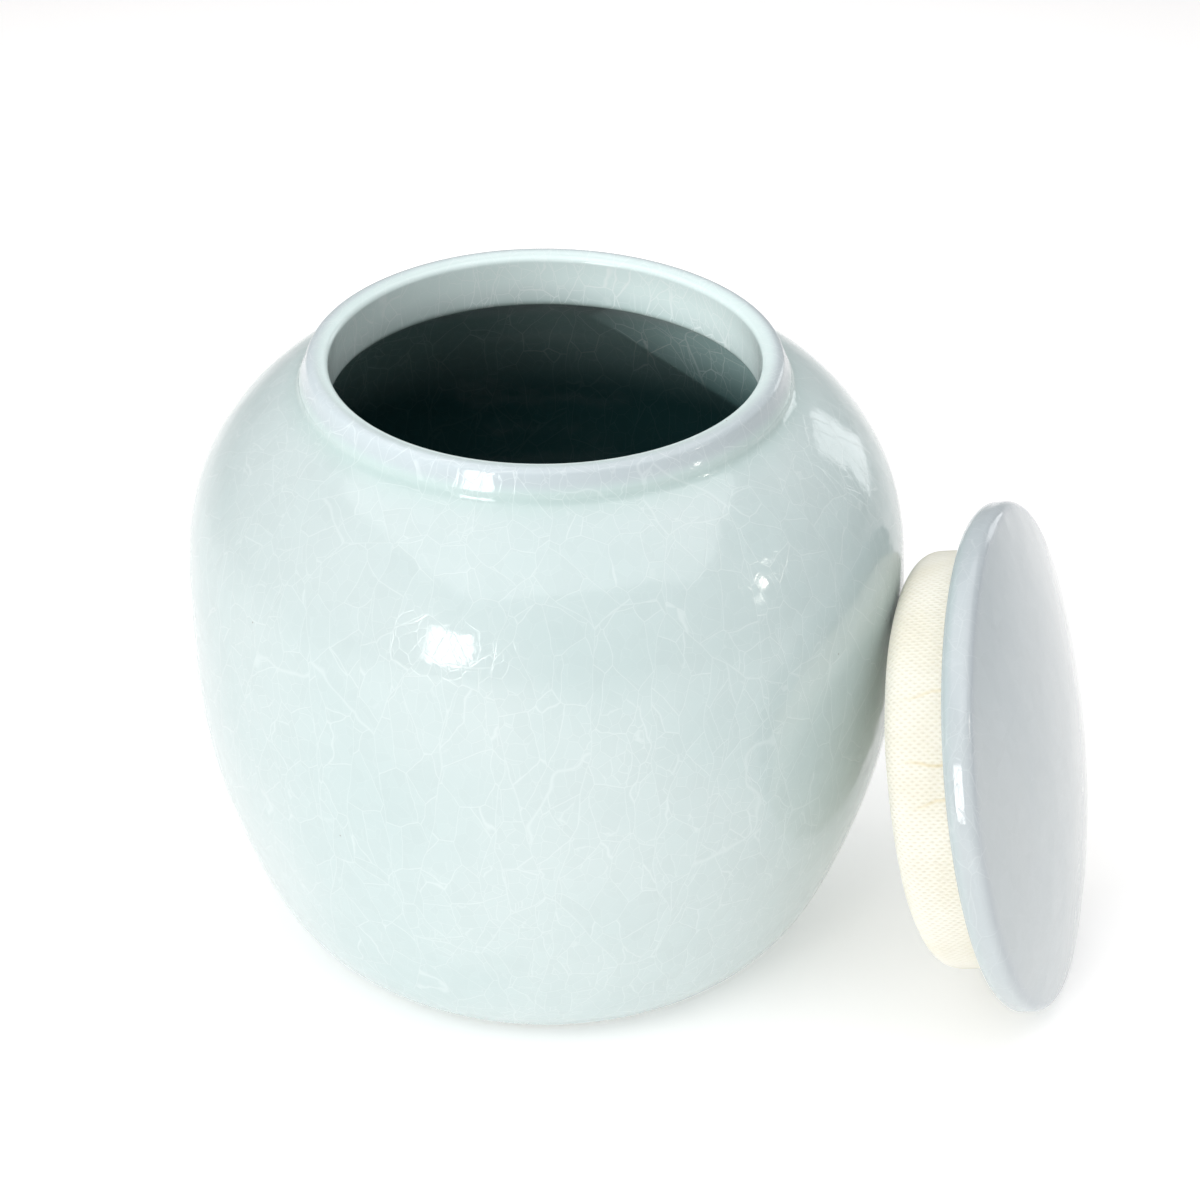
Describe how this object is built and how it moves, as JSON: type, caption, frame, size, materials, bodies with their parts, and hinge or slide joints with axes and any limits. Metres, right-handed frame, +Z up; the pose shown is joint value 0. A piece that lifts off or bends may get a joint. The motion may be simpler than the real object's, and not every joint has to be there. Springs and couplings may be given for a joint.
{
  "type": "ceramic storage jar with padded lid",
  "caption": "Wide-mouthed, round-bellied crackle-glazed jar with a short rolled collar, and a loose domed lid with a knit-covered padded plug, leaning on its side.",
  "frame": {"origin": "centre of the jar's foot ring, on the plane it stands on", "axes": "+Z up along the jar's axis and mouth, +X towards the lid that leans beside it"},
  "size_m": [0.1729, 0.1358, 0.1215],
  "materials": {
    "celadon_glaze": "pale blue-green crackle glaze, glossy",
    "knit_cotton": "cream ribbed cotton knit",
    "foam": "open-cell foam",
    "board": "pressed board",
    "thread": "twisted cotton thread",
    "adhesive": "set flexible adhesive"
  },
  "bodies": {
    "jar": {"jar_body": "celadon_glaze"},
    "lid": {"lid_disc": "celadon_glaze", "plug_backing_board": "board", "plug_foam_cap": "foam", "plug_knit_cover": "knit_cotton", "gathering_thread": "thread", "adhesive_ring": "adhesive"}
  },
  "joints": [
    {"name": "lid_lift", "type": "slide", "parent": "jar", "child": "lid", "axis": [0, 0, 1], "range_m": [0, 0.08]}
  ]
}
